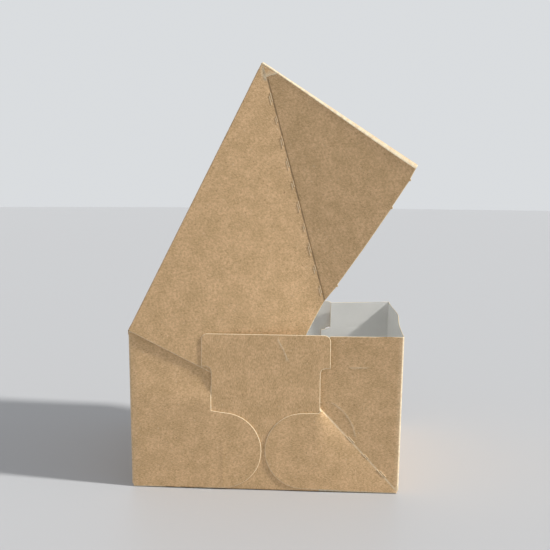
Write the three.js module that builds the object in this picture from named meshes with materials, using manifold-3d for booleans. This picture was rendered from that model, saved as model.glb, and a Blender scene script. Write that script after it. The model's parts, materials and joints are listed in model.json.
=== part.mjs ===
// Window cake box: a tray and a hinged lid folded from kraft board, with a clear film window.
// Millimetres, +Z up. +X is the front, the hinge is along the rear wall's top at -X,
// and the origin is the middle of the bottom's underside.

import * as THREE from 'three';
import { mergeVertices } from 'three/addons/utils/BufferGeometryUtils.js';
import Module from 'manifold-3d';

const wasm = await Module();
wasm.setup();

// Board and film
const board = 0.45;
const filmThickness = 0.2;
const layerGap = 0.4;
const seatGap = 0.3;

// Tray
const trayDepth = 155;
const trayWidth = 155;
const wallHeight = 91.2;
const wallFlare = 1.6;

// Tongue that stands up from each side of the bottom, with an ear on each side of its head
const stemWidth = 63;
const stemShift = 0.5;
const earReach = 5.7;
const earDrop = 19.2;
const earRound = 3.5;
const neckRound = 2.6;

// Round lobes of the corner tabs, glued over the tongue
const lobeRadius = 22.3;
const lobeTop = 46.4;
const lobeGap = 1.2;

// Lid
const hingeRise = 0.8;
const hingeClearance = 0.35;
const lidLength = 170.5;
const lidAngle = 63.25;
const frontFlapLength = 103.8;
const frontFlapTuck = 6.3;
const sideFlapDepth = 92.4;
const rearCutDepth = 70;
const rearCornerReach = 20;
const kneeReach = 66.3;

// Window in the lid's top, and the film glued behind it
const windowMarginRear = 30;
const windowMarginFront = 28;
const windowMarginSide = 26;
const windowRound = 12;
const filmOverlap = 9;

// Cut creases that let the corners fold
const slotLength = 6;
const slotPitch = 12;
const slotWidth = 0.4;
const slotEndMargin = 4;

// Colours and finish
const kraft = { color: 0xc9a277, roughness: 0.85, metalness: 0 };
const clearFilm = { color: 0xf2f6f8, roughness: 0.08, metalness: 0, transparent: true, opacity: 0.3 };

const radians = THREE.MathUtils.degToRad;
const trayHalfDepth = trayDepth / 2;
const trayHalfWidth = trayWidth / 2;
const hingeX = -trayHalfDepth - wallFlare;
const hingeZ = wallHeight + hingeRise;
const lidHalfWidth = trayHalfWidth + 2 * board + layerGap + board;
const frontEndU = lidLength - frontFlapLength * Math.sin(radians(frontFlapTuck));
const frontEndV = frontFlapLength * Math.cos(radians(frontFlapTuck));

// Turns a closed geometry into a solid that can be joined and cut
function solidOf(geometry) {
  geometry.deleteAttribute('normal');
  geometry.deleteAttribute('uv');
  const merged = mergeVertices(geometry, 1e-4);
  return new wasm.Manifold(new wasm.Mesh({
    numProp: 3,
    vertProperties: new Float32Array(merged.attributes.position.array),
    triVerts: new Uint32Array(merged.index.array),
  }));
}

// A flat sheet whose outline is drawn on the plane of `across` and `along`, at `corner`;
// it gets its thickness towards across x along.
function sheet(outline, thickness, corner, across, along) {
  const geometry = new THREE.ExtrudeGeometry(outline, { depth: thickness, bevelEnabled: false, curveSegments: 24 });
  const normal = new THREE.Vector3().crossVectors(across, along);
  const place = new THREE.Matrix4().makeBasis(across, along, normal).setPosition(corner);
  return solidOf(geometry.applyMatrix4(place));
}

function join(solids) {
  return solids.reduce((whole, solid) => whole.add(solid));
}

function meshOf(name, solid, finish) {
  const { vertProperties, triVerts, numProp } = solid.getMesh();
  const positions = new Float32Array((vertProperties.length / numProp) * 3);
  for (let i = 0; i < positions.length / 3; i += 1) {
    positions.set(vertProperties.subarray(i * numProp, i * numProp + 3), i * 3);
  }
  const geometry = new THREE.BufferGeometry();
  geometry.setAttribute('position', new THREE.BufferAttribute(positions, 3));
  geometry.setIndex(new THREE.BufferAttribute(new Uint32Array(triVerts), 1));
  geometry.computeVertexNormals();
  const mesh = new THREE.Mesh(geometry, new THREE.MeshStandardMaterial(finish));
  mesh.name = name;
  return mesh;
}

function polygon(points) {
  return new THREE.Shape(points.map(([x, y]) => new THREE.Vector2(x, y)));
}

function rectangle(x0, y0, x1, y1) {
  return polygon([[x0, y0], [x1, y0], [x1, y1], [x0, y1]]);
}

function roundedRectangle(x0, y0, x1, y1, radius) {
  const path = new THREE.Path();
  path.moveTo(x0 + radius, y0);
  path.absarc(x1 - radius, y0 + radius, radius, -Math.PI / 2, 0);
  path.absarc(x1 - radius, y1 - radius, radius, 0, Math.PI / 2);
  path.absarc(x0 + radius, y1 - radius, radius, Math.PI / 2, Math.PI);
  path.absarc(x0 + radius, y0 + radius, radius, Math.PI, 1.5 * Math.PI);
  return path;
}

const X = new THREE.Vector3(1, 0, 0);
const Y = new THREE.Vector3(0, 1, 0);
const Z = new THREE.Vector3(0, 0, 1);

// A plate on a side of width 2 * half, between the distances inner and outer from that side's plane.
// side is -1 for the near side, at -Y, and +1 for the far side.
function sidePlate(outline, side, half, inner, outer) {
  const start = side < 0 ? -half - inner : half + outer;
  return sheet(outline, outer - inner, new THREE.Vector3(0, start, 0), X, Z);
}

// A wall across the box whose outer face runs from root to end in side view, with its
// thickness towards +X, or -X if that is negative
function crossWall(root, end, thickness, half) {
  const section = polygon([root, [root[0] + thickness, root[1]], [end[0] + thickness, end[1]], end]);
  return sheet(section, 2 * half, new THREE.Vector3(0, half, 0), X, Z);
}

// Slots of a cut crease from point a to point b on a side plate
function creaseSlots(a, b, side, half, inner, outer) {
  const from = new THREE.Vector2(...a);
  const step = new THREE.Vector2(...b).sub(from);
  const length = step.length();
  step.normalize();
  const out = new THREE.Vector2(-step.y, step.x).multiplyScalar(slotWidth / 2);
  const slots = [];
  for (let s = slotEndMargin; s + slotLength < length - slotEndMargin; s += slotPitch) {
    const start = from.clone().addScaledVector(step, s);
    const end = start.clone().addScaledVector(step, slotLength);
    const corners = [start.clone().sub(out), end.clone().sub(out), end.clone().add(out), start.clone().add(out)];
    slots.push(sidePlate(new THREE.Shape(corners), side, half, inner - board, outer + board));
  }
  return slots;
}

// The tongue: stem, neck and head with two ears
function tongueOutline() {
  const left = stemShift - stemWidth / 2;
  const right = stemShift + stemWidth / 2;
  const top = wallHeight;
  const earBottom = top - earDrop;
  const shape = new THREE.Shape();
  shape.moveTo(left, 0);
  shape.lineTo(right, 0);
  shape.lineTo(right, earBottom - neckRound);
  shape.quadraticCurveTo(right, earBottom, right + neckRound, earBottom);
  shape.lineTo(right + earReach, earBottom);
  shape.lineTo(right + earReach, top - earRound);
  shape.absarc(right + earReach - earRound, top - earRound, earRound, 0, Math.PI / 2);
  shape.lineTo(left - earReach + earRound, top);
  shape.absarc(left - earReach + earRound, top - earRound, earRound, Math.PI / 2, Math.PI);
  shape.lineTo(left - earReach, earBottom);
  shape.lineTo(left - neckRound, earBottom);
  shape.quadraticCurveTo(left, earBottom, left, earBottom - neckRound);
  return shape;
}

// A corner tab's lobe, from a little outside the tongue's edge to the round end near the middle.
// toward is +1 for the rear tab's lobe, which points to +X, and -1 for the front tab's.
function lobeOutline(toward) {
  const middle = lobeGap / 2;
  const centre = -toward * (middle + lobeRadius);
  const root = stemShift - toward * (stemWidth / 2 + board);
  const shape = new THREE.Shape();
  const low = lobeTop / 2 - lobeRadius;
  shape.moveTo(root, low);
  shape.lineTo(centre, low);
  shape.absarc(centre, lobeTop / 2, lobeRadius, -Math.PI / 2, Math.PI / 2, toward < 0);
  shape.lineTo(root, lobeTop);
  return shape;
}

function makeTray() {
  const floor = rectangle(-trayHalfDepth, -trayHalfWidth, trayHalfDepth, trayHalfWidth);
  const sideWall = polygon([
    [-trayHalfDepth, 0],
    [trayHalfDepth, 0],
    [trayHalfDepth + wallFlare, wallHeight],
    [-trayHalfDepth - wallFlare, wallHeight],
  ]);
  const webTop = [stemShift + stemWidth / 2, lobeTop];
  const webFoot = [trayHalfDepth, 0];
  const pieces = [
    sheet(floor, board, new THREE.Vector3(0, 0, 0), X, Y),
    crossWall([-trayHalfDepth, 0], [-trayHalfDepth - wallFlare, wallHeight], board, trayHalfWidth),
    crossWall([trayHalfDepth, 0], [trayHalfDepth + wallFlare, wallHeight], -board, trayHalfWidth),
  ];
  const cuts = [];
  for (const side of [-1, 1]) {
    pieces.push(sidePlate(sideWall, side, trayHalfWidth, -board, 0));
    pieces.push(sidePlate(tongueOutline(), side, trayHalfWidth, -board / 2, board));
    pieces.push(sidePlate(lobeOutline(1), side, trayHalfWidth, -board / 2, 2 * board));
    pieces.push(sidePlate(lobeOutline(-1), side, trayHalfWidth, -board / 2, 2 * board));
    cuts.push(...creaseSlots(webTop, webFoot, side, trayHalfWidth, -board, 0));
  }
  return join(pieces).subtract(join(cuts));
}

// The lid is drawn with its hinge at the origin, its top along +X and its flaps towards -Z
function sideFlapOutline() {
  return polygon([
    [hingeClearance, 0],
    [lidLength, 0],
    [frontEndU, -frontEndV],
    [kneeReach, -sideFlapDepth],
    [rearCornerReach, -sideFlapDepth],
    [hingeClearance, -rearCutDepth],
  ]);
}

function windowCorners(grow) {
  const half = lidHalfWidth - windowMarginSide + grow;
  return [windowMarginRear - grow, -half, lidLength - windowMarginFront + grow, half];
}

function makeLid() {
  const top = rectangle(hingeClearance, -lidHalfWidth, lidLength, lidHalfWidth);
  top.holes.push(roundedRectangle(...windowCorners(0), windowRound));
  const pieces = [
    sheet(top, board, new THREE.Vector3(0, 0, -board), X, Y),
    crossWall([lidLength, 0], [frontEndU, -frontEndV], -board, lidHalfWidth),
  ];
  const cuts = [];
  for (const side of [-1, 1]) {
    pieces.push(sidePlate(sideFlapOutline(), side, lidHalfWidth, -board, 0));
    cuts.push(...creaseSlots([lidLength, 0], [kneeReach, -sideFlapDepth], side, lidHalfWidth, -board, 0));
  }
  return join(pieces).subtract(join(cuts));
}

function makeFilm() {
  const [x0, y0, x1, y1] = windowCorners(filmOverlap);
  const corner = new THREE.Vector3(0, 0, -board - seatGap - filmThickness);
  return sheet(rectangle(x0, y0, x1, y1), filmThickness, corner, X, Y);
}

const box = new THREE.Group();
box.add(meshOf('tray', makeTray(), kraft));

const lidGroup = new THREE.Group();
lidGroup.position.set(hingeX, 0, hingeZ);
lidGroup.rotation.y = -radians(lidAngle);
lidGroup.add(meshOf('lid', makeLid(), kraft));
lidGroup.add(meshOf('window_film', makeFilm(), clearFilm));
box.add(lidGroup);

export default box;
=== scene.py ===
# Window cake box: a kraft board tray and a propped-open lid with a clear film window.
# Every board panel is a flat cut sheet that is folded into place with its real thickness.

import json
import math
import bmesh
import bpy
import numpy as np
from mathutils import Matrix, Vector
from mathutils.geometry import delaunay_2d_cdt


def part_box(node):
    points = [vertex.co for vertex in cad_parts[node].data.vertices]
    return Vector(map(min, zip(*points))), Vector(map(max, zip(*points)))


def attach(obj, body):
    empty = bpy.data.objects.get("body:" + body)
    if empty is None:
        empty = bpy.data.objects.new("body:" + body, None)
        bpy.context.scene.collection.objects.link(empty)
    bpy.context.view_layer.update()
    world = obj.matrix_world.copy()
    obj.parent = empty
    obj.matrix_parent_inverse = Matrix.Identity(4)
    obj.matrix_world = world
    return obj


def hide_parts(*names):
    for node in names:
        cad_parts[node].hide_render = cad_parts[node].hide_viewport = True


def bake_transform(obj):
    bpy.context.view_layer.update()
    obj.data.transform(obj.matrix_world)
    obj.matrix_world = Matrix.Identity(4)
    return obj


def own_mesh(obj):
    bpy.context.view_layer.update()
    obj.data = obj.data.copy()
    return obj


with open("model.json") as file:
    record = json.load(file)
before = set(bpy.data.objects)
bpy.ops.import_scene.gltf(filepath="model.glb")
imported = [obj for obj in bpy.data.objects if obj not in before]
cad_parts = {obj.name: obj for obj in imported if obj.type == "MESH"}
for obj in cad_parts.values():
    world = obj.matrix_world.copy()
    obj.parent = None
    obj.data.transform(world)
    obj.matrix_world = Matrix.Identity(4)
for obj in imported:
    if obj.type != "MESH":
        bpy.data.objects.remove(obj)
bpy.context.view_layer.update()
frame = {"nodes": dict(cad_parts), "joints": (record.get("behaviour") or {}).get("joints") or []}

MM = 0.001

# Board
BOARD = 0.45 * MM
PLY_GAP = 0.08 * MM
CELL = 3.0 * MM
LINE_CLEAR = 0.4 * CELL
FOLD_RADIUS = 1.2 * MM
FOLD_STEPS = (-1, -0.6, -0.2, 0.2, 0.6, 1)
EDGE_ROUND = 0.28 * MM
EDGE_MIDDLE = 0.45 * BOARD
EDGE_CLEAR = 0.75 * MM
LEAST_TURN = 0.3
MOST_STEP = 1.5
SHARP_ANGLE = math.radians(50)
MARK_WIDTH = 0.7 * MM
MARK_HEIGHT = 0.11 * MM
WEAR_WIDTH = 0.9 * MM
# Width of the pale band along the lid's front flap edges, partly a painted highlight
EDGE_WEAR_AND_HIGHLIGHT_WIDTH = 1.2 * MM
STRIP_WEAR_WIDTH = 0.8 * MM
CLOSE = 0.1 * MM
SHORTEST = 0.05 * MM

# How pale the worn folds and marks are, and how dark the painted shadow in the open slit is. On the tray's
# front folds and the lid's front flap edges the paleness is partly a painted highlight
REAR_WEAR = 0.35
# The front folds' paleness is partly worn board and partly a painted highlight where the light catches the
# rounded corner
FRONT_WEAR_AND_HIGHLIGHT = 1.0
LID_FOLD_WEAR = 0.7
STRIP_WEAR = 0.45
TRAY_CREASE_WEAR = 0.55
TAB_MARK_WEAR = 0.3
TONGUE_MARK_WEAR = 0.4
TIP_CREASE_WEAR = 0.9
CORNER_WEAR = 0.7
# Strength of the painted shadow along the web's opened slit
SLIT_PAINTED_SHADE = 0.75

# Tray. Its outer size is read from the frame
TRAY_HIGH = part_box("tray")[1]
WALL_FLARE = 1.6 * MM
WALL_TOP = TRAY_HIGH.z
HALF_DEPTH = TRAY_HIGH.x - WALL_FLARE
HALF_WIDTH = TRAY_HIGH.y - 2 * BOARD
TAB_FOOT = 0.1 * MM
FOOT_ROWS = (0.8 * MM, 1.6 * MM)
LEAN_REACH = 40 * MM
REAR_TAB_END = 5 * MM
FRONT_TAB_END = -5 * MM
FOOT_INSET = 1 * MM
TOP_INSET = 0.8 * MM
FRONT_BOW = 2.4 * MM
FRONT_BOW_MIDDLE = 14 * MM
FRONT_BOW_REACH = 33 * MM

# Tongue
STEM_LEFT = -31.0 * MM
STEM_RIGHT = 32.0 * MM
EAR_REACH = 5.7 * MM
EAR_DROP = 19.2 * MM
EAR_ROUND = 3.5 * MM
NECK_ROUND = 2.6 * MM
NECK_CUT = 0.8 * MM
EAR_TURNS = (math.pi / 8, math.pi / 4, math.pi * 3 / 8)
TONGUE_FOLD = 0.8 * MM
TONGUE_TILT = 0.3 * MM
TONGUE_TILT_START = 60 * MM

# Lobes of the corner tabs
LOBE_RADIUS = 22.3 * MM
REAR_LOBE = Vector((-23.9 * MM, 23.0 * MM))
FRONT_LOBE = Vector((22.6 * MM, 23.6 * MM))
LOBE_LIFT = 2 * BOARD + PLY_GAP
LOBE_TURN = 88
SLIT_HEIGHT = 46.8 * MM
REAR_STEP = 60 * MM
REAR_HEAD = 5 * MM
LEVEL_REACH = 3 * MM
FRONT_STEP = 70.2 * MM
FRONT_HEAD = 2.5 * MM

# Corner panels
WEB_TOP = Vector((32.3 * MM, 48.3 * MM))
WEB_FOOT = Vector((76.9 * MM, 0.9 * MM))
LIFT_FADE = (50 * MM, 64 * MM)
REAR_DENT = 0.022
REAR_DENT_START = 2 * MM
REAR_DENT_FADE = (50 * MM, 70 * MM)
FRONT_SINK = 0.075
LOW_SINK_SHARE = 0.6
SINK_FADE = (WEB_TOP.y, 75 * MM)
FRONT_FLARE = 0.012
LOBE_RAMP = 0.5 * MM

# Cut creases, which leave pairs of raised marks
TRAY_CUT_SHARES = (0.26, 0.87)
LID_CUT_SHARES = (0.1, 0.99)
TRAY_CUT_COUNT = 3
LID_CUT_COUNT = 10
CUT_SIZE = (5 * MM, 0.32 * MM, 0.3 * MM)
CUT_GAP = (1.6 * MM, 0.95 * MM, 0.0)
CUT_LIFT = 0.15 * MM
CUT_SMALLEST = (0.7, 0.8, 0.7)
CUT_LARGEST = (1.15, 1.1, 1.2)
CUT_SEED = 4

# Lid. Its hinge and its outer size are read from the frame
HINGE_JOINT = next(joint for joint in frame["joints"] if joint["name"] == "lid_hinge")
HINGE = Vector(HINGE_JOINT["pos_m"])
LID_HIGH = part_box("lid")[1]
LID_ANGLE = math.radians(63.25)
LID_LENGTH = (LID_HIGH.z - HINGE.z) / math.sin(LID_ANGLE)
LID_HALF = LID_HIGH.y
ALONG = Vector((math.cos(LID_ANGLE), 0, math.sin(LID_ANGLE)))
ABOVE = Vector((-math.sin(LID_ANGLE), 0, math.cos(LID_ANGLE)))
FRONT_FLAP = 103.8 * MM
FRONT_TUCK = math.radians(6.3)
FRONT_END = Vector((LID_LENGTH - FRONT_FLAP * math.sin(FRONT_TUCK), FRONT_FLAP * math.cos(FRONT_TUCK)))
KNEE = Vector((66.3 * MM, 92.5 * MM))
TIP = Vector((LID_LENGTH, 0.0))
WEB_START = TIP.lerp(KNEE, 0.064)
WEB_EDGE = 11.3 * MM
WEB_UNDER = 2.5 * MM
WEB_STEPS = 8
WEB_BEND = (104 * MM, 98.4 * MM)
FRONT_NICK = (149.8 * MM, 103.0 * MM)
MIDDLE_NICK = (131.5 * MM, 101.4 * MM)
REAR_NICK = (77.9 * MM, 94.9 * MM)
NICK_REACH = 0.9 * MM
TIP_CUT = 1.2 * MM
FLAP_START = 0.4 * MM
FLAP_LOW_EDGE = [(46.5 * MM, 92.3 * MM), (20 * MM, 92.0 * MM), (FLAP_START, 70 * MM)]
SLIT_STEP = 0.6 * MM
# Width of the painted shadow line in the web's slit
SLIT_SHADE_WIDTH = 0.36 * MM
SLIT_SHARES = (0.01, 0.99)
KNEE_DENT = 10 * MM
HINGE_DENT_SHARE = 0.35
CORNER_DENT_SHARE = 0.25
EDGE_FOLD = 0.6 * MM
FRONT_EDGE_FOLD = 2.2 * MM
EDGE_ROWS = (0.1 * MM, 0.3 * MM, 0.6 * MM, 1.1 * MM, 1.7 * MM, 2.3 * MM)
STRIP_WALL = 1.6 * MM
STRIP_REACH = 2.4 * MM
STRIP_INSET = 0.2 * MM
STRIP_COLUMNS = 7
STRIP_CELL = 0.6 * MM

# Window in the lid's top
WINDOW_REAR = 30 * MM
WINDOW_FRONT = 28 * MM
WINDOW_SIDE = 26 * MM
WINDOW_ROUND = 12 * MM


# Small helpers

def smooth(low, high, value):
    """0 up to low, 1 from high on, and an even rise between them."""
    t = min(1.0, max(0.0, (value - low) / (high - low)))
    return t * t * (3 - 2 * t)


def bump_line(distance, width):
    """1 at no distance, fading to 0 beyond the width."""
    return math.exp(-(distance / width) ** 2)


def arc(centre, radius, start, end, steps=24):
    """Points along an arc, whose start and end are angles in degrees."""
    points = []
    for i in range(steps + 1):
        angle = math.radians(start + (end - start) * i / steps)
        points.append((centre[0] + radius * math.cos(angle), centre[1] + radius * math.sin(angle)))
    return points


def rounded_rectangle(x0, y0, x1, y1, radius):
    """The outline of a rectangle with rounded corners."""
    points = arc((x1 - radius, y0 + radius), radius, -90, 0, 10)
    points += arc((x1 - radius, y1 - radius), radius, 0, 90, 10)
    points += arc((x0 + radius, y1 - radius), radius, 90, 180, 10)
    points += arc((x0 + radius, y0 + radius), radius, 180, 270, 10)
    return points


def line_distance(point, line):
    """Distance from a point to a line of points."""
    best = math.inf
    for a, b in zip(line, line[1:]):
        way = b - a
        share = min(1.0, max(0.0, (point - a).dot(way) / way.length_squared))
        best = min(best, (point - a - way * share).length)
    return best


def on_mark(point, lines):
    """1 on the thin marks along the lines, and 0 away from them."""
    return max(bump_line(line_distance(point, line), MARK_WIDTH / 2) for line in lines)


def pressed(x, z, lines):
    """How high the thin marks along the lines stand at (x, z)."""
    return MARK_HEIGHT * on_mark(Vector((x, z)), lines)


def mark_creases(lines, to_sheet=lambda p: p, steps=(-MARK_WIDTH, 0, MARK_WIDTH)):
    """Rows of points on the flat sheet along each line and beside it at the given steps."""
    creases = []
    for line in lines:
        way = (line[-1] - line[0]).normalized()
        for step in steps:
            row = [to_sheet(p + Vector((-way.y, way.x)) * step) for p in line]
            creases += list(zip(row, row[1:]))
    return creases


class FoldedPath:
    """A path of straight runs with rounded folds. Its outer side is on the left of its direction."""

    def __init__(self, corners, radius):
        self.corners = [Vector(c) for c in corners]
        self.radius = radius
        self.starts = [0.0]
        self.ways = []
        for a, b in zip(self.corners, self.corners[1:]):
            self.starts.append(self.starts[-1] + (b - a).length)
            self.ways.append((b - a).normalized())

    def folds(self):
        """How far along the path its folds are."""
        return self.starts[1:-1]

    def at(self, s):
        """(point, outward normal) at the distance s."""
        for k, fold in enumerate(self.folds()):
            before, after = self.ways[k], self.ways[k + 1]
            turn = before.angle(after)
            reach = self.radius * math.tan(turn / 2)
            if abs(s - fold) <= reach:
                normal = Vector((-before.y, before.x))
                centre = self.corners[k + 1] - before * reach - normal * self.radius
                share = (s - fold + reach) / (2 * reach)
                normal = Matrix.Rotation(-turn * share, 2) @ normal
                return centre + normal * self.radius, normal
        k = 0
        while k < len(self.ways) - 1 and s > self.starts[k + 1]:
            k += 1
        way = self.ways[k]
        return self.corners[k] + way * (s - self.starts[k]), Vector((-way.y, way.x))

    def columns(self):
        """Places of rows of points across each fold."""
        return [fold + self.radius * share for fold in self.folds() for share in FOLD_STEPS]


# Board sheets

def split_edges(outline, columns, rows):
    """The outline with a point at least every cell, and where it crosses a column or row."""
    points = []
    for a, b in zip(outline, outline[1:] + outline[:1]):
        length = math.hypot(b[0] - a[0], b[1] - a[1])
        steps = max(1, math.ceil(length / CELL))
        cuts = {i / steps for i in range(steps)}
        for axis, lines in ((0, columns), (1, rows)):
            for line in lines:
                if (a[axis] - line) * (b[axis] - line) < 0:
                    cuts.add((line - a[axis]) / (b[axis] - a[axis]))
        last = -1.0
        for cut in sorted(cuts):
            if (cut - last) * length > SHORTEST and ((1 - cut) * length > SHORTEST or cut == 0.0):
                points.append((a[0] + (b[0] - a[0]) * cut, a[1] + (b[1] - a[1]) * cut))
                last = cut
    return points


def inside(points, outline):
    """Which of the points lie inside the outline."""
    x, y = points[:, 0], points[:, 1]
    result = np.zeros(len(points), bool)
    for (ax, ay), (bx, by) in zip(outline, outline[1:] + outline[:1]):
        if ay == by:
            continue
        crosses = (ay > y) != (by > y)
        result ^= crosses & (x < (bx - ax) * (y - ay) / (by - ay) + ax)
    return result


def near_edges(points, outline, reach):
    """Which of the points lie closer to the outline than reach."""
    result = np.zeros(len(points), bool)
    for a, b in zip(outline, outline[1:] + outline[:1]):
        a, b = np.array(a), np.array(b)
        way = b - a
        share = np.clip(((points - a) @ way) / (way @ way), 0, 1)
        result |= np.hypot(*(points - a - np.outer(share, way)).T) < reach
    return result


def grid_lines(low, high, extra):
    """Evenly spaced lines from low to high and the extra ones, with none close beside those."""
    lines = [low + CELL * (i + 0.5) for i in range(int((high - low) / CELL))]
    lines = [line for line in lines if all(abs(line - e) > LINE_CLEAR for e in extra)]
    return sorted(lines + list(extra))


def triangles_of(outline, holes, columns, rows, creases):
    """Points and triangles that fill the outline, with rows of points along its folds."""
    rings = [split_edges(ring, columns, rows) for ring in [outline] + list(holes)]
    low = [min(p[i] for p in outline) for i in (0, 1)]
    high = [max(p[i] for p in outline) for i in (0, 1)]
    across = grid_lines(low[0], high[0], columns)
    up = grid_lines(low[1], high[1], rows)
    field = np.array([(x, y) for x in across for y in up])
    keep = inside(field, rings[0])
    for ring in rings:
        keep &= ~near_edges(field, ring, EDGE_CLEAR)
    for ring in rings[1:]:
        keep &= ~inside(field, ring)
    points = [Vector(p) for ring in rings for p in ring] + [Vector(p) for p in field[keep]]
    edges = []
    first = 0
    for ring in rings:
        edges += [(first + i, first + (i + 1) % len(ring)) for i in range(len(ring))]
        first += len(ring)
    for a, b in creases:
        steps = max(1, math.ceil((Vector(b) - Vector(a)).length / CELL))
        line = [Vector(a).lerp(Vector(b), i / steps) for i in range(steps + 1)]
        edges += [(len(points) + i, len(points) + i + 1) for i in range(steps)]
        points += line
    found, _, faces, _, _, _ = delaunay_2d_cdt(points, edges, [], 0, 1e-7)
    centres = np.array([sum((found[i] for i in face), Vector((0, 0))) / len(face) for face in faces])
    keep = inside(centres, rings[0])
    for ring in rings[1:]:
        keep &= ~inside(centres, ring)
    return found, [face for face, kept in zip(faces, keep) if kept]


def rim_of(faces):
    """The directed border edges of a flat mesh."""
    edges = {(a, b) for face in faces for a, b in zip(face, face[1:] + face[:1])}
    return sorted(edge for edge in edges if (edge[1], edge[0]) not in edges)


def inward_steps(flat, rim, flush):
    """For each border point the step into the sheet that rounds its cut edge, none where it is flush."""
    steps = {}
    for a, b in rim:
        way = (flat[b] - flat[a]).normalized()
        for i in (a, b):
            steps.setdefault(i, []).append(Vector((-way.y, way.x)))
    result = {}
    for i, normals in steps.items():
        total = sum(normals, Vector((0, 0)))
        if flush and flush(flat[i].x, flat[i].y) or total.length < LEAST_TURN:
            result[i] = Vector((0, 0))
        else:
            middle = total.normalized()
            result[i] = middle * min(MOST_STEP, 1 / max(LEAST_TURN, middle.dot(normals[0])))
    return result


def board_sheet(name, outline, place, holes=(), columns=(), rows=(), creases=(), wear=None, flush=None,
                grain_across=False):
    """A cut sheet of board. place(s, t, depth) gives the point of the flat sheet in the folded box,
    at depth 0 on its brown face and at the board's thickness on the white one. flush(s, t) is true on
    edges that run on into the next panel, which aren't cut. grain_across turns the fibres by 90 degrees."""
    flat, faces = triangles_of(outline, holes, list(columns), list(rows), creases)
    used = sorted({i for face in faces for i in face})
    number = {old: new for new, old in enumerate(used)}
    flat = [flat[i] for i in used]
    faces = [[number[i] for i in face] for face in faces]
    rim = rim_of(faces)
    steps = inward_steps(flat, rim, flush)
    border = sorted(steps)
    outer = [p + steps.get(i, Vector((0, 0))) * EDGE_ROUND for i, p in enumerate(flat)]
    inner = [p + steps.get(i, Vector((0, 0))) * (EDGE_ROUND / 2) for i, p in enumerate(flat)]
    middle = [flat[i] for i in border]
    ring = {i: 2 * len(flat) + k for k, i in enumerate(border)}
    points = [place(p.x, p.y, 0.0) for p in outer]
    points += [place(p.x, p.y, BOARD) for p in inner]
    points += [place(p.x, p.y, EDGE_MIDDLE) for p in middle]
    count = len(flat)
    back = [[i + count for i in reversed(face)] for face in faces]
    sides = [[b, a, ring[a], ring[b]] for a, b in rim]
    sides += [[ring[b], ring[a], a + count, b + count] for a, b in rim]
    mesh = bpy.data.meshes.new(name)
    mesh.from_pydata(points, [], faces + back + sides)
    for material in (KRAFT, WHITE, CUT_EDGE):
        mesh.materials.append(material)
    whole = [bool(flush and flush(*((flat[a] + flat[b]) / 2))) for a, b in rim]
    kinds = [0] * len(faces) + [1] * len(back) + [0 if w else 2 for w in whole] * 2
    mesh.polygons.foreach_set("material_index", kinds)
    mesh.polygons.foreach_set("use_smooth", [True] * len(kinds))
    uv = mesh.uv_layers.new(name="sheet")
    sheet = flat + flat + middle
    for loop in mesh.loops:
        p = sheet[loop.vertex_index]
        uv.data[loop.index].uv = (p.y, p.x) if grain_across else p
    worn = mesh.attributes.new("fold_wear_and_painted_light", "FLOAT", "POINT")
    worn.data.foreach_set("value", [wear(p.x, p.y) if wear else 0.0 for p in sheet])
    return finish_mesh(name, mesh)


def finish_mesh(name, mesh):
    """Turns the faces outwards, keeps sharp and cut edges crisp and adds the object to the scene."""
    work = bmesh.new()
    work.from_mesh(mesh)
    bmesh.ops.recalc_face_normals(work, faces=work.faces)
    for edge in work.edges:
        alike = len({face.material_index for face in edge.link_faces}) == 1
        edge.smooth = alike and edge.calc_face_angle(0.0) < SHARP_ANGLE
    work.to_mesh(mesh)
    work.free()
    piece = bpy.data.objects.new(name, mesh)
    bpy.context.scene.collection.objects.link(piece)
    return piece


# Materials

KRAFT_DEEP = (0.56, 0.37, 0.185, 1)
KRAFT_LIGHT = (0.78, 0.515, 0.285, 1)
MOTTLE_COLOUR = (0.39, 0.245, 0.11, 1)
FIBRE_COLOUR = (0.86, 0.59, 0.335, 1)
FLECK_COLOUR = (0.27, 0.15, 0.07, 1)
PALE_FLECK_COLOUR = (0.78, 0.60, 0.40, 1)
# Pale colour of worn folds and marks, also used for the painted highlights along the tray's front folds and
# the lid's front flap edges
WEAR_AND_HIGHLIGHT_COLOUR = (0.95, 0.84, 0.62, 1)
# Colour of the painted shadow in the web's opened slit
SLIT_SHADE_COLOUR = (0.13, 0.08, 0.04, 1)
WHITE_DULL = (0.86, 0.86, 0.84, 1)
WHITE_BRIGHT = (0.90, 0.90, 0.88, 1)
PULP_BROWN = (0.80, 0.62, 0.38, 1)
PULP_CREAM = (0.93, 0.80, 0.58, 1)
FILM_COLOUR = (0.95, 0.97, 0.98, 1)
EVEN = (1, 1, 1)
STREAKY = (1, 4.5, 1)


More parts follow.
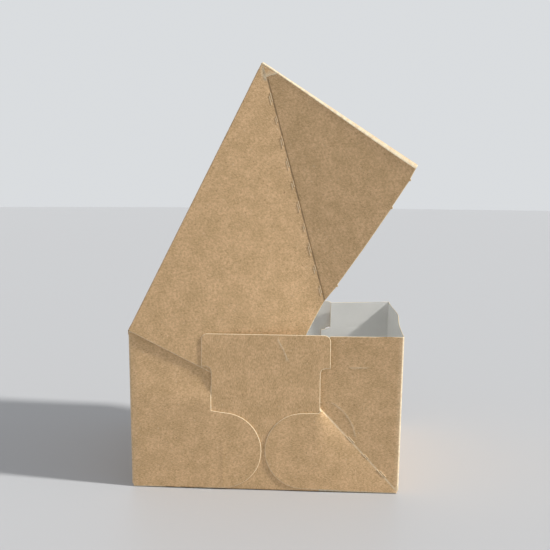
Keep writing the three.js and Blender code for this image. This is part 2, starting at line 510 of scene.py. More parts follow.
class Nodes:
    """A short way to build a material's nodes."""

    def __init__(self, name):
        self.material = bpy.data.materials.new(name)
        self.material.use_nodes = True
        self.tree = self.material.node_tree
        self.shader = self.tree.nodes["Principled BSDF"]

    def add(self, kind, **values):
        node = self.tree.nodes.new(kind)
        for key, value in values.items():
            if key in node.inputs:
                node.inputs[key].default_value = value
            else:
                setattr(node, key, value)
        return node

    def link(self, source, target):
        self.tree.links.new(source, target)

    def sheet_place(self, scale):
        coordinates = self.add("ShaderNodeUVMap", uv_map="sheet")
        mapping = self.add("ShaderNodeMapping")
        mapping.inputs["Scale"].default_value = scale
        self.link(coordinates.outputs["UV"], mapping.inputs["Vector"])
        return mapping.outputs["Vector"]

    def noise(self, place, scale, detail=3.0, roughness=0.5):
        node = self.add("ShaderNodeTexNoise", Scale=scale, Detail=detail, Roughness=roughness)
        self.link(place, node.inputs["Vector"])
        return node.outputs["Fac"]

    def spread(self, value, low, high, to_low=0.0, to_high=1.0):
        node = self.add("ShaderNodeMapRange")
        self.link(value, node.inputs["Value"])
        for key, number in (("From Min", low), ("From Max", high), ("To Min", to_low), ("To Max", to_high)):
            node.inputs[key].default_value = number
        return node.outputs["Result"]

    def mix(self, share, a, b):
        """Colours a and b mixed by share, each a socket or a colour."""
        node = self.add("ShaderNodeMix", data_type="RGBA")
        for socket, value in ((node.inputs["Factor"], share), (node.inputs[6], a), (node.inputs[7], b)):
            if isinstance(value, (tuple, float)):
                socket.default_value = value
            else:
                self.link(value, socket)
        return node.outputs[2]

    def bump(self, height, distance, strength=1.0):
        node = self.add("ShaderNodeBump", Strength=strength, Distance=distance)
        self.link(height, node.inputs["Height"])
        self.link(node.outputs["Normal"], self.shader.inputs["Normal"])


def kraft_material():
    """Brown kraft face: cloudy pulp, fine fibres and dark flecks. fold_wear_and_painted_light is above 0
    where a fold or mark is worn pale, which on the tray's front folds and the lid's front flap edges is
    partly a painted highlight, and below 0 where the shadow in the web's opened slit is painted dark."""
    nodes = Nodes("kraft_face")
    even = nodes.sheet_place(EVEN)
    streaky = nodes.sheet_place(STREAKY)
    clouds = nodes.spread(nodes.noise(even, 100, 6.0, 0.65), 0.40, 0.60)
    mottle = nodes.spread(nodes.noise(even, 620, 4.0, 0.8), 0.40, 0.62)
    fibres = nodes.spread(nodes.noise(streaky, 700, 3.0, 0.7), 0.43, 0.62)
    flecks = nodes.spread(nodes.noise(even, 900, 1.0, 0.4), 0.69, 0.76)
    pale_flecks = nodes.spread(nodes.noise(even, 760, 1.0, 0.4), 0.68, 0.78)
    colour = nodes.mix(clouds, KRAFT_DEEP, KRAFT_LIGHT)
    for layer, strength, tint in ((mottle, 0.75, MOTTLE_COLOUR), (fibres, 0.7, FIBRE_COLOUR),
                                  (flecks, 0.6, FLECK_COLOUR), (pale_flecks, 0.5, PALE_FLECK_COLOUR)):
        colour = nodes.mix(nodes.spread(layer, 0, 1, 0, strength), colour, tint)
    wear = nodes.add("ShaderNodeAttribute", attribute_name="fold_wear_and_painted_light")
    worn = nodes.add("ShaderNodeMath", operation="MULTIPLY")
    nodes.link(wear.outputs["Fac"], worn.inputs[0])
    nodes.link(nodes.spread(nodes.noise(even, 500, 2.0, 0.6), 0.3, 0.6, 0.45, 1.0), worn.inputs[1])
    # Worn folds and marks are mixed in pale; on the tray's front folds and the lid's front flap edges this
    # is partly a painted highlight
    colour = nodes.mix(worn.outputs[0], colour, WEAR_AND_HIGHLIGHT_COLOUR)
    # Painted shadow: dark where the attribute is below 0, along the web's opened slit
    colour = nodes.mix(nodes.spread(wear.outputs["Fac"], 0, -1), colour, SLIT_SHADE_COLOUR)
    nodes.link(colour, nodes.shader.inputs["Base Color"])
    nodes.link(nodes.spread(mottle, 0, 1, 0.72, 0.88), nodes.shader.inputs["Roughness"])
    nodes.shader.inputs["Specular IOR Level"].default_value = 0.35
    nodes.bump(nodes.noise(streaky, 450, 5.0, 0.75), 0.35 * MM, 0.55)
    return nodes.material


def white_material():
    """White coated inside face, with a trace of fibre."""
    nodes = Nodes("white_face")
    even = nodes.sheet_place(EVEN)
    cloud = nodes.spread(nodes.noise(even, 60, 3.0), 0.35, 0.65)
    colour = nodes.mix(cloud, WHITE_DULL, WHITE_BRIGHT)
    nodes.link(colour, nodes.shader.inputs["Base Color"])
    nodes.link(nodes.spread(cloud, 0, 1, 0.5, 0.62), nodes.shader.inputs["Roughness"])
    nodes.bump(nodes.noise(even, 900, 3.0), 0.03 * MM, 0.4)
    return nodes.material


def cut_edge_material():
    """Cut edge of the board: cream pulp."""
    nodes = Nodes("cut_edge")
    even = nodes.sheet_place(EVEN)
    pulp = nodes.spread(nodes.noise(even, 600, 2.0), 0.3, 0.7)
    colour = nodes.mix(pulp, PULP_BROWN, PULP_CREAM)
    nodes.link(colour, nodes.shader.inputs["Base Color"])
    nodes.shader.inputs["Roughness"].default_value = 0.9
    nodes.bump(pulp, 0.05 * MM, 0.5)
    return nodes.material


def film_material():
    """Clear glossy film with slight waves."""
    nodes = Nodes("clear_film")
    coordinates = nodes.add("ShaderNodeTexCoord")
    waves = nodes.noise(coordinates.outputs["Object"], 28, 2.0)
    nodes.shader.inputs["Base Color"].default_value = FILM_COLOUR
    nodes.shader.inputs["Roughness"].default_value = 0.04
    nodes.shader.inputs["IOR"].default_value = 1.45
    nodes.shader.inputs["Alpha"].default_value = 0.2
    nodes.bump(waves, 0.4 * MM, 0.3)
    return nodes.material


KRAFT = kraft_material()
WHITE = white_material()
CUT_EDGE = cut_edge_material()
FILM = film_material()


# Cut marks

def mark_tree():
    """Geometry nodes that lay pairs of thin raised marks along a line, each pair a little different."""
    tree = bpy.data.node_groups.new("cut_marks", "GeometryNodeTree")
    kinds = {"Count": "Int", "Start": "Vector", "Step": "Vector", "Turn": "Vector", "Size": "Vector",
             "Gap": "Vector", "Material": "Material"}
    for name, kind in kinds.items():
        tree.interface.new_socket(name, in_out="INPUT", socket_type="NodeSocket" + kind)
    tree.interface.new_socket("Geometry", in_out="OUTPUT", socket_type="NodeSocketGeometry")
    given = tree.nodes.new("NodeGroupInput").outputs
    bar = tree.nodes.new("GeometryNodeMeshCube")
    tree.links.new(given["Size"], bar.inputs["Size"])
    second = tree.nodes.new("GeometryNodeTransform")
    tree.links.new(bar.outputs["Mesh"], second.inputs["Geometry"])
    tree.links.new(given["Gap"], second.inputs["Translation"])
    pair = tree.nodes.new("GeometryNodeJoinGeometry")
    tree.links.new(bar.outputs["Mesh"], pair.inputs["Geometry"])
    tree.links.new(second.outputs["Geometry"], pair.inputs["Geometry"])
    line = tree.nodes.new("GeometryNodeMeshLine")
    tree.links.new(given["Count"], line.inputs["Count"])
    tree.links.new(given["Start"], line.inputs["Start Location"])
    tree.links.new(given["Step"], line.inputs["Offset"])
    size = tree.nodes.new("FunctionNodeRandomValue")
    size.data_type = "FLOAT_VECTOR"
    size.inputs[0].default_value = CUT_SMALLEST
    size.inputs[1].default_value = CUT_LARGEST
    size.inputs["Seed"].default_value = CUT_SEED
    laid = tree.nodes.new("GeometryNodeInstanceOnPoints")
    tree.links.new(line.outputs["Mesh"], laid.inputs["Points"])
    tree.links.new(pair.outputs["Geometry"], laid.inputs["Instance"])
    tree.links.new(given["Turn"], laid.inputs["Rotation"])
    tree.links.new(size.outputs[0], laid.inputs["Scale"])
    real = tree.nodes.new("GeometryNodeRealizeInstances")
    tree.links.new(laid.outputs["Instances"], real.inputs["Geometry"])
    coat = tree.nodes.new("GeometryNodeSetMaterial")
    tree.links.new(real.outputs["Geometry"], coat.inputs["Geometry"])
    tree.links.new(given["Material"], coat.inputs["Material"])
    tree.links.new(coat.outputs["Geometry"], tree.nodes.new("NodeGroupOutput").inputs["Geometry"])
    return tree


MARK_TREE = mark_tree()


def cut_marks(name, start, end, out, beside, count):
    """Pairs of raised marks along a cut crease from start to end, the second of each on the side beside."""
    along = (end - start).normalized()
    across = out.cross(along).normalized()
    across = -across if across.dot(beside) < 0 else across
    turn = Matrix((along, across, along.cross(across))).transposed().to_euler()
    step = (end - start) / count
    maker = bpy.data.objects.new(name, bpy.data.meshes.new(name))
    bpy.context.scene.collection.objects.link(maker)
    modifier = maker.modifiers.new("marks", "NODES")
    modifier.node_group = MARK_TREE
    values = {"Count": count, "Start": tuple(start + step / 2 + out * CUT_LIFT), "Step": tuple(step),
              "Turn": tuple(turn), "Size": CUT_SIZE, "Gap": CUT_GAP, "Material": CUT_EDGE}
    for item in MARK_TREE.interface.items_tree:
        if item.in_out == "INPUT":
            modifier[item.identifier] = values[item.name]
    graph = bpy.context.evaluated_depsgraph_get()
    mesh = bpy.data.meshes.new_from_object(maker.evaluated_get(graph))
    bpy.data.objects.remove(maker)
    piece = bpy.data.objects.new(name, mesh)
    bpy.context.scene.collection.objects.link(piece)
    return piece


# Tray

REAR_TAB_MARKS = [[Vector((-24 * MM, 3 * MM)), Vector((-24 * MM, 26 * MM))]]
FRONT_TAB_MARKS = [
    [Vector(p) for p in arc((27 * MM, 29.5 * MM), 25.3 * MM, 8, 62, 8)],
    [Vector((49 * MM, 72.5 * MM)), Vector((58 * MM, 72.8 * MM))],
]
TONGUE_MARKS = [[Vector((7.6 * MM, 88 * MM)), Vector((10.8 * MM, 82.5 * MM)), Vector((12.5 * MM, 78 * MM))]]


def rear_tab_offset(x, z):
    """How far the rear tab's face stands out from the side's plane: in under the lid's flap, and out
    over the tongue at its lobe."""
    reach = x + HALF_DEPTH
    lift = LOBE_LIFT * min(1.0, reach / (STEM_LEFT + HALF_DEPTH)) * (1 - smooth(*LIFT_FADE, z))
    press = REAR_DENT * max(0.0, reach - REAR_DENT_START) * smooth(*REAR_DENT_FADE, z)
    return lift - press + pressed(x, z, REAR_TAB_MARKS)


def diagonal_x(z):
    """Where the front tab's diagonal crease is at the height z."""
    return WEB_TOP.x + (WEB_FOOT.x - WEB_TOP.x) * (WEB_TOP.y - z) / (WEB_TOP.y - WEB_FOOT.y)


def front_panel_offset(x, z):
    """The front corner's panel flares out with its wall and sinks in towards the tongue, most at its top."""
    share = LOW_SINK_SHARE + (1 - LOW_SINK_SHARE) * smooth(*SINK_FADE, z)
    return FRONT_FLARE * z - FRONT_SINK * share * max(0.0, HALF_DEPTH - x)


def front_tab_offset(x, z):
    """The same for the front tab, which the cut crease divides into a lobe and a panel that sinks in."""
    edge = diagonal_x(z)
    if z > WEB_TOP.y or x > edge:
        return front_panel_offset(x, z) + pressed(x, z, FRONT_TAB_MARKS)
    start = STEM_RIGHT + LOBE_RAMP
    share = min(1.0, max(0.0, (x - start) / max(edge - start, LOBE_RAMP)))
    return LOBE_LIFT * (1 - share) + front_panel_offset(edge, z) * share


def wall_lean(z, tab):
    """How far the front and rear walls lean out at the height z, less and less along their tabs."""
    return WALL_FLARE * z / WALL_TOP * (1 - smooth(0, LEAN_REACH, tab))


def foot_tuck(z):
    """How far a wall is drawn in at its foot, where it folds into the bottom."""
    return max(0.0, FOLD_RADIUS - z) ** 2 / FOLD_RADIUS


def rear_outline(path):
    """Near tab, rear wall and far tab, unfolded. reach is measured from the corner along the tab."""
    near, far = path.folds()
    centre = REAR_LOBE.x + HALF_DEPTH
    slit = STEM_LEFT + HALF_DEPTH
    tab = [(centre, REAR_LOBE.y - LOBE_RADIUS)]
    tab += arc((centre, REAR_LOBE.y), LOBE_RADIUS, -LOBE_TURN, LOBE_TURN)
    tab += [(slit + 0.3 * MM, SLIT_HEIGHT - 0.5 * MM), (slit, REAR_STEP)]
    tab += [(slit + 0.6 * MM, REAR_STEP + 1.5 * MM), (slit + REAR_HEAD, REAR_STEP + 7 * MM)]
    tab += [(slit + REAR_HEAD, WALL_TOP - 2 * MM), (slit + REAR_HEAD - 2 * MM, WALL_TOP - 0.5 * MM)]
    tab += [(LEVEL_REACH, WALL_TOP), (-0.6 * MM, WALL_TOP)]
    far_side = [(far + reach, z) for reach, z in tab]
    near_side = [(near - reach, z) for reach, z in reversed(tab)]
    top = WALL_TOP - STRIP_WALL
    foot = [(near - FOOT_INSET, TAB_FOOT), (far + FOOT_INSET, TAB_FOOT)]
    return foot + far_side + [(far - TOP_INSET, top), (near + TOP_INSET, top)] + near_side


def front_tab():
    """The front tab's outline as (reach, z). Above the step its slit widens."""
    centre = HALF_DEPTH - FRONT_LOBE.x
    slit = HALF_DEPTH - STEM_RIGHT
    tab = [(centre, FRONT_LOBE.y - LOBE_RADIUS)]
    tab += arc((centre, FRONT_LOBE.y), LOBE_RADIUS, -LOBE_TURN, LOBE_TURN)
    tab += [(slit + 1 * MM, SLIT_HEIGHT - 0.6 * MM), (slit - 0.4 * MM, SLIT_HEIGHT + 0.6 * MM)]
    tab += [(slit + FRONT_HEAD, SLIT_HEIGHT + 3.5 * MM), (slit + FRONT_HEAD, FRONT_STEP)]
    tab += [(slit - 1.5 * MM, FRONT_STEP + 0.9 * MM), (slit - 4.2 * MM, FRONT_STEP + 2 * MM)]
    return tab + [(slit - 4.5 * MM, WALL_TOP - 1.6 * MM), (slit - 5.5 * MM, WALL_TOP - 0.9 * MM)]


def front_outline(path):
    """Far tab, front wall and near tab, unfolded."""
    far, near = path.folds()
    near_side = [(near + reach, z) for reach, z in front_tab()]
    far_side = [(far - reach, z) for reach, z in reversed(front_tab())]
    foot = [(far - FOOT_INSET, TAB_FOOT), (near + FOOT_INSET, TAB_FOOT)]
    return foot + near_side + [(near + FOOT_INSET, WALL_TOP), (far - FOOT_INSET, WALL_TOP)] + far_side


def wall_wear(path, strength):
    """Paler board along the upright folds."""
    def wear(s, z):
        return strength * max(bump_line(s - fold, WEAR_WIDTH) for fold in path.folds())
    return wear


def make_rear_band():
    """The rear wall with its corner tabs and their lobes."""
    path = FoldedPath([(REAR_TAB_END, -HALF_WIDTH), (-HALF_DEPTH, -HALF_WIDTH),
                       (-HALF_DEPTH, HALF_WIDTH), (REAR_TAB_END, HALF_WIDTH)], FOLD_RADIUS)
    near, far = path.folds()

    def place(s, z, depth):
        point, normal = path.at(s)
        tab = max(near - s, s - far, 0.0)
        on_tab = smooth(0, FOLD_RADIUS, tab)
        out = rear_tab_offset(-HALF_DEPTH + tab, z) * on_tab
        side = Vector((0, -1 if s < near else 1))
        turn = point - normal * depth + side * out
        return Vector((turn.x - wall_lean(z, tab) + foot_tuck(z) * (1 - on_tab), turn.y, z))

    top = WALL_TOP - STRIP_WALL

    def flush(s, z):
        return near - FOOT_INSET < s < far + FOOT_INSET and (abs(z - top) < CLOSE or z < FOLD_RADIUS)

    creases = mark_creases(REAR_TAB_MARKS, lambda p: Vector((near - HALF_DEPTH - p.x, p.y)))
    creases += mark_creases(REAR_TAB_MARKS, lambda p: Vector((far + HALF_DEPTH + p.x, p.y)))
    return board_sheet("rear_wall_and_tabs", rear_outline(path), place, columns=path.columns(),
                       rows=FOOT_ROWS, creases=creases, wear=wall_wear(path, REAR_WEAR), flush=flush)


def make_front_band():
    """The front wall with its corner tabs and their lobes."""
    path = FoldedPath([(FRONT_TAB_END, HALF_WIDTH), (HALF_DEPTH, HALF_WIDTH),
                       (HALF_DEPTH, -HALF_WIDTH), (FRONT_TAB_END, -HALF_WIDTH)], FOLD_RADIUS)
    far, near = path.folds()

    def place(s, z, depth):
        point, normal = path.at(s)
        tab = max(far - s, s - near, 0.0)
        on_tab = smooth(0, FOLD_RADIUS, tab)
        corner_out = FRONT_FLARE * z * (point.y / HALF_WIDTH) ** 2
        out = front_tab_offset(HALF_DEPTH - tab, z) * on_tab + corner_out * (1 - on_tab)
        side = Vector((0, 1 if point.y > 0 else -1))
        bow = FRONT_BOW * bump_line(point.y - FRONT_BOW_MIDDLE, FRONT_BOW_REACH) * (z / WALL_TOP) ** 2
        turn = point - normal * depth + side * out
        return Vector((turn.x + wall_lean(z, tab) + bow - foot_tuck(z) * (1 - on_tab), turn.y, z))

    creases = []
    for fold, way in ((near, 1), (far, -1)):
        def to_sheet(p):
            return Vector((fold + way * (HALF_DEPTH - p.x), p.y))
        creases += mark_creases(FRONT_TAB_MARKS + [[WEB_TOP, WEB_FOOT]], to_sheet)

    # The front folds are painted pale: partly wear, partly a painted highlight
    fold_wear_and_painted_light = wall_wear(path, FRONT_WEAR_AND_HIGHLIGHT)

    def wear(s, z):
        spot = Vector((HALF_DEPTH - max(far - s, s - near, 0.0), z))
        crease = TRAY_CREASE_WEAR * on_mark(spot, [[WEB_TOP, WEB_FOOT]])
        return max(fold_wear_and_painted_light(s, z), crease, TAB_MARK_WEAR * on_mark(spot, FRONT_TAB_MARKS))

    def flush(s, z):
        return far - FOOT_INSET < s < near + FOOT_INSET and z < FOLD_RADIUS

    return board_sheet("front_wall_and_tabs", front_outline(path), place, columns=path.columns(),
                       rows=FOOT_ROWS, creases=creases, wear=wear, flush=flush)


def make_tray_cut_marks(side, name):
    """The marks of the front tab's cut crease."""
    out = Vector((0, side, 0))
    ends = [WEB_TOP.lerp(WEB_FOOT, share) for share in TRAY_CUT_SHARES]
    start, end = [Vector((p.x + wall_lean(p.y, HALF_DEPTH - p.x),
                          side * (HALF_WIDTH + front_panel_offset(p.x, p.y)), p.y)) for p in ends]
    return cut_marks(name, start, end, out, beside=Vector((0, 0, 1)), count=TRAY_CUT_COUNT)


def tongue_head(flip):
    """The tongue's outline as (height, x) from its root at one side to its root at the other."""
    top = WALL_TOP
    ear = top - EAR_DROP
    left, right = STEM_LEFT - EAR_REACH, STEM_RIGHT + EAR_REACH
    points = [(0, STEM_LEFT), (ear - NECK_ROUND, STEM_LEFT), (ear - NECK_CUT, STEM_LEFT - NECK_CUT)]
    points += [(ear, STEM_LEFT - NECK_ROUND), (ear, left), (top - EAR_ROUND, left)]
    points += [(top - EAR_ROUND * (1 - math.sin(a)), left + EAR_ROUND * (1 - math.cos(a)))
               for a in EAR_TURNS]
    points += [(top, left + EAR_ROUND), (top, right - EAR_ROUND)]
    points += [(top - EAR_ROUND * (1 - math.cos(a)), right - EAR_ROUND * (1 - math.sin(a)))
               for a in EAR_TURNS]
    points += [(top - EAR_ROUND, right), (ear, right), (ear, STEM_RIGHT + NECK_ROUND)]
    points += [(ear - NECK_CUT, STEM_RIGHT + NECK_CUT), (ear - NECK_ROUND, STEM_RIGHT), (0, STEM_RIGHT)]
    return list(reversed(points)) if flip else points


def make_bottom_and_tongues():
    """The bottom with the tongue that stands up from each side of it."""
    half = HALF_WIDTH + BOARD
    path = FoldedPath([(half, WALL_TOP), (half, 0), (-half, 0), (-half, WALL_TOP)], TONGUE_FOLD)
    far, near = path.folds()
    edge = HALF_DEPTH - TONGUE_FOLD
    outline = [(far + BOARD, -edge), (near - BOARD, -edge)]
    outline += [(near + z, x) for z, x in tongue_head(False)]
    outline += [(near - BOARD, edge), (far + BOARD, edge)]
    outline += [(far - z, x) for z, x in tongue_head(True)]

    def place(s, x, depth):
        point, normal = path.at(s)
        z = max(far - s, s - near, 0.0)
        out = TONGUE_TILT * smooth(TONGUE_TILT_START, WALL_TOP, z) + pressed(x, z, TONGUE_MARKS)
        turn = point - normal * (depth - out)
        return Vector((x, turn.x, turn.y))

    def wear(s, x):
        return TONGUE_MARK_WEAR * on_mark(Vector((x, max(far - s, s - near, 0.0))), TONGUE_MARKS)

    creases = mark_creases(TONGUE_MARKS, lambda p: Vector((near + p.y, p.x)))
    creases += mark_creases(TONGUE_MARKS, lambda p: Vector((far - p.y, p.x)))
    return board_sheet("bottom_and_tongues", outline, place, columns=path.columns(), creases=creases,
                       wear=wear)


# Lid

def lid_point(u, y, above):
    """The point at u from the hinge along the lid's top, at y, and at above from its outer face."""
    return HINGE + ALONG * u + Vector((0, y, 0)) + ABOVE * above


def edge_radius(distance):
    """Radius of the long edge's fold, which grows down the front flap."""
    return EDGE_FOLD + (FRONT_EDGE_FOLD - EDGE_FOLD) * smooth(0, FRONT_FLAP, distance)


def make_lid_cover():
    """The lid's top with its window, folded down into the front flap, with rounded long edges."""
    path = FoldedPath([(0, 0), (LID_LENGTH, 0), (FRONT_END.x, -FRONT_END.y)], FOLD_RADIUS)
    fold = path.folds()[0]
    total = path.starts[-1]
    outline = [(STRIP_REACH, -LID_HALF), (total, -LID_HALF), (total, LID_HALF), (STRIP_REACH, LID_HALF)]
    half = LID_HALF - WINDOW_SIDE
    window = rounded_rectangle(WINDOW_REAR, -half, LID_LENGTH - WINDOW_FRONT, half, WINDOW_ROUND)

    def place(s, y, depth):
        point, normal = path.at(s)
        radius = edge_radius(s - fold)
        over = abs(y) - (LID_HALF - radius)
        drop = radius - math.sqrt(max(0.0, radius * radius - over * over)) if over > 0 else 0.0
        spot = point - normal * (depth + drop)
        return lid_point(spot.x, y, spot.y)

    edge_rows = [side * (LID_HALF - inset) for side in (-1, 1) for inset in EDGE_ROWS]

    def wear(s, y):
        front = LID_FOLD_WEAR * bump_line(s - fold, WEAR_WIDTH)
        # The pale band along the front flap's long edges is partly wear and partly a painted highlight on
        # the rounded edge
        sides = smooth(fold - FOLD_RADIUS, fold, s) * bump_line(abs(y) - LID_HALF, EDGE_WEAR_AND_HIGHLIGHT_WIDTH)
        return max(front, sides)

    def flush(s, y):
        return abs(abs(y) - LID_HALF) < CLOSE or s < STRIP_REACH + CLOSE

    return board_sheet("lid_top_and_front", outline, place, holes=[window], columns=path.columns(),
                       rows=edge_rows, wear=wear, flush=flush)


def side_flap_dent(u, v):
    """How far the side flap has sunk in at (u, v), where v is measured down from the lid's top. It sinks
    most along its crease with the web, and little near the hinge, where it lies behind the tongue."""
    crease = TIP.lerp(KNEE, v / KNEE.y).x
    rear = smooth(0, 1, (crease - u) / crease)
    return KNEE_DENT * v / KNEE.y * (1 - (1 - HINGE_DENT_SHARE) * rear)


def web_distance(u, v):
    """Distance from the front flap's edge."""
    return abs((Vector((u, v)) - TIP).cross((FRONT_END - TIP).normalized()))


def web_dent(u, v):
    """How far the web has sunk in: it meets the side flap at their crease."""
    return KNEE_DENT * web_distance(u, v) / web_distance(*KNEE)


def corner_dent(u, v):
    """How far the small triangle at the tip has sunk in."""
    return CORNER_DENT_SHARE * web_dent(u, v)


def crease_distance(u, v):
    """Distance from the crease between the side flap and the web."""
    return abs((Vector((u, v)) - TIP).cross((KNEE - TIP).normalized()))


def flap_place(side, dent):
    """Where a side flap's board goes, with the lid's side at side and pressed in by dent."""
    def place(u, v, depth):
        return lid_point(u, side * (LID_HALF - dent(u, v) - depth), -v)
    return place


def nick(u, v):
    """The small burr where the blank was held in its sheet."""
    return [(u + NICK_REACH, v), (u + 0.5 * MM, v + 0.6 * MM), (u - 0.4 * MM, v + 0.7 * MM),
            (u - NICK_REACH, v)]


def make_side_flap(side, name):
    """The lid's side flap, from the hinge to its crease with the web."""
    outline = [(FLAP_START, EDGE_FOLD), (LID_LENGTH - TIP_CUT, EDGE_FOLD), tuple(WEB_START), tuple(KNEE)]
    outline += FLAP_LOW_EDGE

    def flush(u, v):
        return v < EDGE_FOLD + CLOSE or crease_distance(u, v) < CLOSE

    def wear(u, v):
        return TIP_CREASE_WEAR * on_mark(Vector((u, v)), [[TIP, WEB_START]])

    return board_sheet(name, outline, flap_place(side, side_flap_dent), wear=wear, flush=flush,
                       grain_across=True)


def front_edge_point(distance):
    """The point at the distance from the lid's tip along the front flap, at the start of the web."""
    way = (FRONT_END - TIP).normalized()
    return TIP + way * distance + Vector((-abs(way.y), way.x)) * edge_radius(distance)


def make_web(side, name):
    """The web. It runs on a little inside the side flap's board, so that no gap opens as the flap moves."""
    along = (KNEE - TIP).normalized()
    under = Vector((-along.y, along.x)) * WEB_UNDER
    outline = [tuple(WEB_START + along * WEB_UNDER + under), tuple(WEB_START)]
    reaches = [WEB_EDGE + (FRONT_FLAP - WEB_EDGE) * i / WEB_STEPS for i in range(WEB_STEPS + 1)]
    outline += [tuple(front_edge_point(reach)) for reach in reaches]
    outline += nick(*FRONT_NICK) + nick(*MIDDLE_NICK) + [WEB_BEND] + nick(*REAR_NICK)
    outline += [tuple(KNEE), tuple(KNEE - along * WEB_UNDER + under)]

    def flush(u, v):
        return web_distance(u, v) < FRONT_EDGE_FOLD + CLOSE or crease_distance(u, v) < WEB_UNDER + CLOSE

    # Painted shadow: a dark line just below the web's top edge stands in for the shade in the opened slit of
    # the cut crease
    def wear(u, v):
        below = (Vector((u, v)) - WEB_START).cross(along)
        return -SLIT_PAINTED_SHADE * bump_line(below - SLIT_STEP, SLIT_SHADE_WIDTH)

    ends = [WEB_START.lerp(KNEE, share) for share in SLIT_SHARES]
    slit = mark_creases([ends], steps=(0, -SLIT_STEP, -2 * SLIT_STEP))
    return board_sheet(name, outline, flap_place(side, web_dent), creases=slit, wear=wear, flush=flush,
                       grain_across=True)


def make_corner(side, name):
    """The small triangle between the web's end and the lid's corner."""
    outline = [(LID_LENGTH - TIP_CUT, EDGE_FOLD), tuple(front_edge_point(WEB_EDGE)), tuple(WEB_START)]
    line = [Vector(point) for point in outline[1:]]

    def wear(u, v):
        return CORNER_WEAR * bump_line(line_distance(Vector((u, v)), line), MARK_WIDTH)

    return board_sheet(name, outline, flap_place(side, corner_dent), wear=wear, grain_across=True)


def make_lid_cut_marks(side, name):
    """The marks of the crease between the side flap and the web."""
    out = Vector((0, side, 0))
    ends = [TIP.lerp(KNEE, share) for share in LID_CUT_SHARES]
    start, end = [lid_point(p.x, side * (LID_HALF - side_flap_dent(p.x, p.y)), -p.y) for p in ends]
    return cut_marks(name, start, end, out, beside=Vector((0, 0, -1)), count=LID_CUT_COUNT)


def make_hinge_strip():
    """The crease between the rear wall and the lid, folded round the hinge."""
    hinge = Vector((HINGE.x, HINGE.z))
    low = hinge - Vector((0, STRIP_REACH))
    high = hinge + Vector((ALONG.x, ALONG.z)) * STRIP_REACH
    path = FoldedPath([low, hinge, high], FOLD_RADIUS)
    wide = LID_HALF - EDGE_FOLD
    narrow = HALF_WIDTH - STRIP_INSET
    outline = [(0, -narrow), (path.starts[-1], -wide), (path.starts[-1], wide), (0, narrow)]

    def place(s, y, depth):
        point, normal = path.at(s)
        spot = point - normal * depth
        return Vector((spot.x, y, spot.y))

    def wear(s, y):
        return STRIP_WEAR * bump_line(s - path.starts[1], STRIP_WEAR_WIDTH)

    columns = [STRIP_CELL * (i + 1) for i in range(STRIP_COLUMNS)]
    return board_sheet("hinge_crease", outline, place, columns=columns, wear=wear, flush=lambda s, y: True)


def flap_squash(piece):
    """Gives the piece its own copy of its mesh."""
    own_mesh(piece)


def dress_tray():
    """The tray's pieces, on the tray's body."""
    pieces = [make_rear_band(), make_front_band(), make_bottom_and_tongues()]
    pieces += [make_tray_cut_marks(-1, "tray_cut_marks_near"), make_tray_cut_marks(1, "tray_cut_marks_far")]
    for piece in pieces:
        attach(piece, "tray")
        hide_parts("tray")


def dress_lid_side(side, word):
    """One side of the lid, on the lid's body."""
    flap = make_side_flap(side, "side_flap_" + word)
    marks = make_lid_cut_marks(side, "lid_cut_marks_" + word)
    web = make_web(side, "web_corner_" + word)
    corner = make_corner(side, "tip_corner_" + word)
    for piece in (flap, marks, web, corner):
        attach(piece, "lid")
        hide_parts("lid")
    flap_squash(flap)
    flap_squash(marks)
    flap_squash(web)


def dress_lid():
    """The lid's pieces, the crease that joins them to the tray, and the window's film."""
    cover = make_lid_cover()
    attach(cover, "lid")
    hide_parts("lid")
    dress_lid_side(-1, "near")
    dress_lid_side(1, "far")
    strip = make_hinge_strip()
    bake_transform(strip)
    film = frame["nodes"]["window_film"]
    film.data.materials.clear()
    film.data.materials.append(FILM)


# Studio

CAMERA_PLACE = Vector((40.0, -599.2, 177.4)) * MM
CAMERA_YAW = math.radians(3.78)
CAMERA_PITCH = math.radians(5.69)
CAMERA_ROLL = math.radians(0.42)
FOCAL_PIXELS = 926.7
FRAME_PIXELS = 550
SENSOR = 36.0
FLOOR_DROP = 0.3 * MM
FLOOR_RADIUS = 6.0
FLOOR_COLOUR = (0.5, 0.51, 0.53, 1)
WORLD_LIGHT = (0.97, 0.98, 1.0, 1)
WORLD_STRENGTH = 0.46
WORLD_SEEN = (0.70, 0.72, 0.74, 1)
KEY_DIRECTION = (0.75, -0.14, 0.64)
KEY_ANGLE = 5
KEY_STRENGTH = 3.6
KEY_COLOUR = (1.0, 0.98, 0.94)
CLIP_START = 0.01


def make_camera():
    """The camera where the photo was taken from."""
    data = bpy.data.cameras.new("camera")
    data.sensor_width = SENSOR
    data.sensor_fit = "HORIZONTAL"
    data.lens = FOCAL_PIXELS / FRAME_PIXELS * SENSOR
    data.clip_start = CLIP_START
    ahead = Vector((-math.sin(CAMERA_YAW) * math.cos(CAMERA_PITCH),
                    math.cos(CAMERA_YAW) * math.cos(CAMERA_PITCH), -math.sin(CAMERA_PITCH)))
    right = ahead.cross(Vector((0, 0, 1))).normalized()
    up = right.cross(ahead)
    turned_right = right * math.cos(CAMERA_ROLL) + up * math.sin(CAMERA_ROLL)
    turned_up = up * math.cos(CAMERA_ROLL) - right * math.sin(CAMERA_ROLL)
    camera = bpy.data.objects.new("camera", data)
    turn = Matrix((turned_right, turned_up, -ahead)).transposed()
    camera.matrix_world = Matrix.Translation(CAMERA_PLACE) @ turn.to_4x4()
    bpy.context.scene.collection.objects.link(camera)
    bpy.context.scene.camera = camera


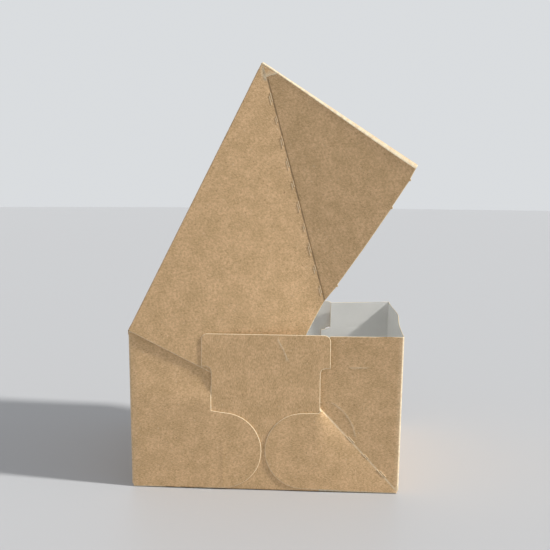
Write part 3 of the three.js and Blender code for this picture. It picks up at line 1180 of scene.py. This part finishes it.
def make_sun(name, direction, angle, strength, colour):
    """A sun in the given direction, whose angle in degrees sets how soft its shadows are."""
    data = bpy.data.lights.new(name, "SUN")
    data.angle = math.radians(angle)
    data.energy = strength
    data.color = colour
    lamp = bpy.data.objects.new(name, data)
    lamp.rotation_euler = Vector(direction).to_track_quat("Z", "Y").to_euler()
    bpy.context.scene.collection.objects.link(lamp)


def make_floor():
    """A pale floor just under the box."""
    work = bmesh.new()
    bmesh.ops.create_circle(work, cap_ends=True, segments=64, radius=FLOOR_RADIUS)
    mesh = bpy.data.meshes.new("floor")
    work.to_mesh(mesh)
    work.free()
    floor = bpy.data.objects.new("floor", mesh)
    floor.location = (0, 0, -FLOOR_DROP)
    material = bpy.data.materials.new("pale_floor")
    material.use_nodes = True
    shader = material.node_tree.nodes["Principled BSDF"]
    shader.inputs["Base Color"].default_value = FLOOR_COLOUR
    shader.inputs["Roughness"].default_value = 0.5
    mesh.materials.append(material)
    bpy.context.scene.collection.objects.link(floor)


def make_world():
    """Soft light from all sides. The camera, reflections and the film show a grey backdrop instead."""
    world = bpy.data.worlds.new("studio")
    world.use_nodes = True
    tree = world.node_tree
    lit = tree.nodes["Background"]
    lit.inputs["Color"].default_value = WORLD_LIGHT
    lit.inputs["Strength"].default_value = WORLD_STRENGTH
    seen = tree.nodes.new("ShaderNodeBackground")
    seen.inputs["Color"].default_value = WORLD_SEEN
    path = tree.nodes.new("ShaderNodeLightPath")
    rays = path.outputs["Is Camera Ray"]
    for kind in ("Is Glossy Ray", "Is Transmission Ray"):
        either = tree.nodes.new("ShaderNodeMath")
        either.operation = "MAXIMUM"
        tree.links.new(rays, either.inputs[0])
        tree.links.new(path.outputs[kind], either.inputs[1])
        rays = either.outputs[0]
    mix = tree.nodes.new("ShaderNodeMixShader")
    tree.links.new(rays, mix.inputs["Fac"])
    tree.links.new(lit.outputs[0], mix.inputs[1])
    tree.links.new(seen.outputs[0], mix.inputs[2])
    tree.links.new(mix.outputs[0], tree.nodes["World Output"].inputs["Surface"])
    bpy.context.scene.world = world


def make_studio():
    """The camera, the floor, the soft light and the sun."""
    make_camera()
    make_floor()
    make_world()
    make_sun("key", KEY_DIRECTION, KEY_ANGLE, KEY_STRENGTH, KEY_COLOUR)


make_studio()
dress_tray()
dress_lid()

bpy.context.scene.view_settings.view_transform = "Standard"
